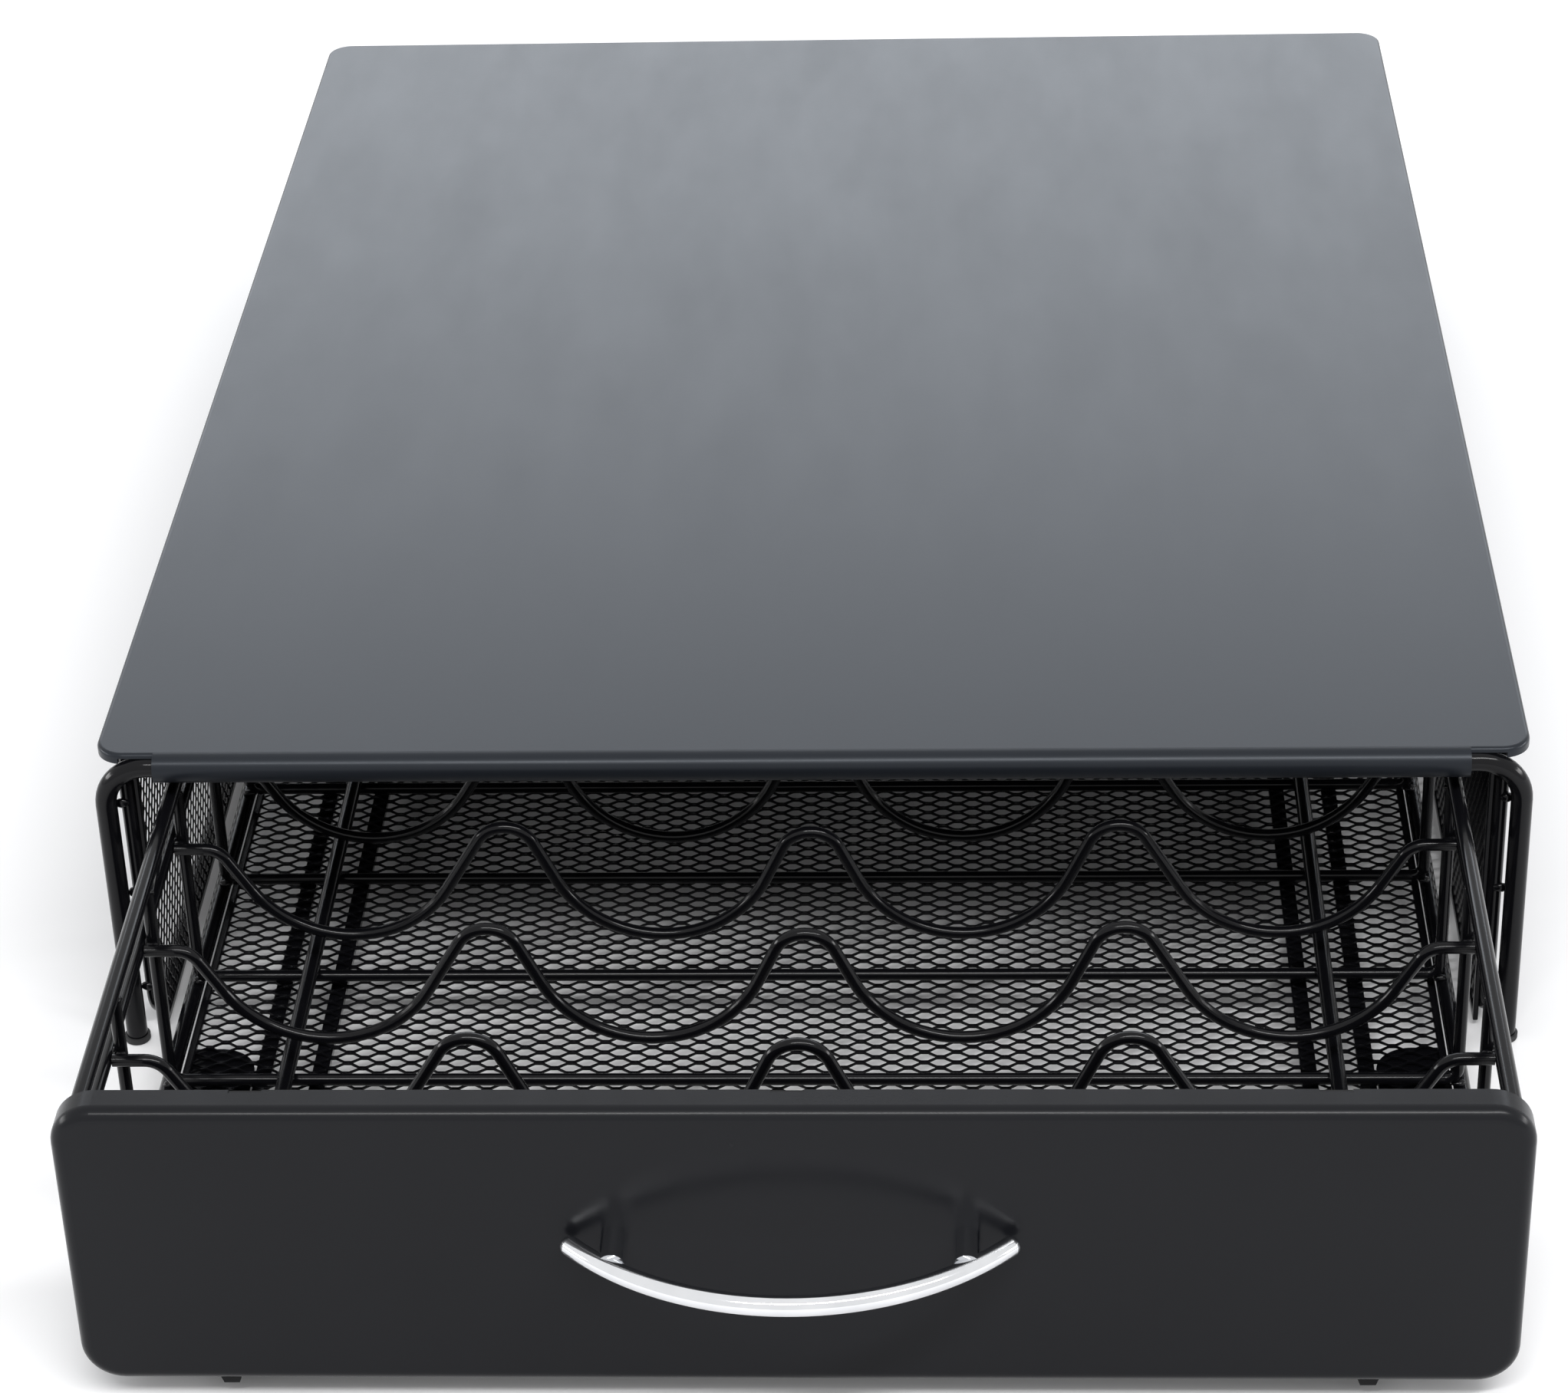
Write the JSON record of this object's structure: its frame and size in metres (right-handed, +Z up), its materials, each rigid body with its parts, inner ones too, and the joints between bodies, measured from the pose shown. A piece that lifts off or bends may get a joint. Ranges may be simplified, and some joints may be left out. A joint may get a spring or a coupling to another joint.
{
  "type": "coffee pod drawer",
  "caption": "Low steel housing with a flat top and net walls, and a sliding wire basket with wave-shaped wires for coffee pods, a plain front plate and a bowed bright handle.",
  "frame": {"origin": "on the table, under the middle of the whole object's box with the drawer partly out, as in its rest pose", "axes": "+X to the right when facing the drawer's front, +Y towards the back, +Z up"},
  "size_m": [0.2926, 0.5064, 0.0714],
  "materials": {
    "top_paint": "semi-gloss black powder coat",
    "front_paint": "satin black powder coat",
    "wire_coat": "gloss black powder coat",
    "net_coat": "gloss black powder coat on expanded steel net",
    "chrome": "polished chrome plate",
    "zinc": "zinc-plated steel",
    "rubber": "matt black rubber"
  },
  "bodies": {
    "housing": {"top_plate": "top_paint", "front_frame": "wire_coat", "rear_frame": "wire_coat", "back_net": "net_coat", "cross_rod_front": "wire_coat", "cross_rod_rear": "wire_coat", "side_frame_left": "wire_coat", "side_frame_right": "wire_coat", "side_net_left": "net_coat", "side_net_right": "net_coat", "guide_rod_left": "wire_coat", "guide_rod_right": "wire_coat", "foot_front_left": "rubber", "foot_front_right": "rubber", "foot_rear_left": "rubber", "foot_rear_right": "rubber"},
    "drawer": {"front_plate": "front_paint", "plate_clips": "wire_coat", "handle_bow": "chrome", "handle_screws": "zinc", "stop_tabs": "wire_coat", "top_rail": "wire_coat", "floor_border": "wire_coat", "floor_net": "net_coat", "front_wire": "wire_coat", "rear_wire": "wire_coat", "row_wire_1": "wire_coat", "row_wire_2": "wire_coat", "row_wire_3": "wire_coat", "row_wire_4": "wire_coat", "row_wire_5": "wire_coat", "row_wire_6": "wire_coat", "row_wire_7": "wire_coat", "row_wire_8": "wire_coat", "row_wire_9": "wire_coat", "wave_wire_1": "wire_coat", "wave_wire_2": "wire_coat", "wave_wire_3": "wire_coat", "wave_wire_4": "wire_coat", "wave_wire_5": "wire_coat", "wave_wire_6": "wire_coat", "wave_wire_7": "wire_coat", "wave_wire_8": "wire_coat", "wave_wire_9": "wire_coat", "handle_post_left": "chrome", "handle_post_right": "chrome", "drawer_foot_left": "wire_coat", "drawer_foot_right": "wire_coat", "side_wire_left": "wire_coat", "side_wire_right": "wire_coat", "floor_bar_inner_left": "wire_coat", "floor_bar_inner_right": "wire_coat", "floor_bar_outer_left": "wire_coat", "floor_bar_outer_right": "wire_coat", "runner_left": "wire_coat", "runner_right": "wire_coat", "plate_arm_left": "wire_coat", "plate_arm_right": "wire_coat"}
  },
  "joints": [
    {"name": "drawer_slide", "type": "slide", "parent": "housing", "child": "drawer", "axis": [0, -1, 0], "range_m": [-0.1043, 0.1119]}
  ]
}
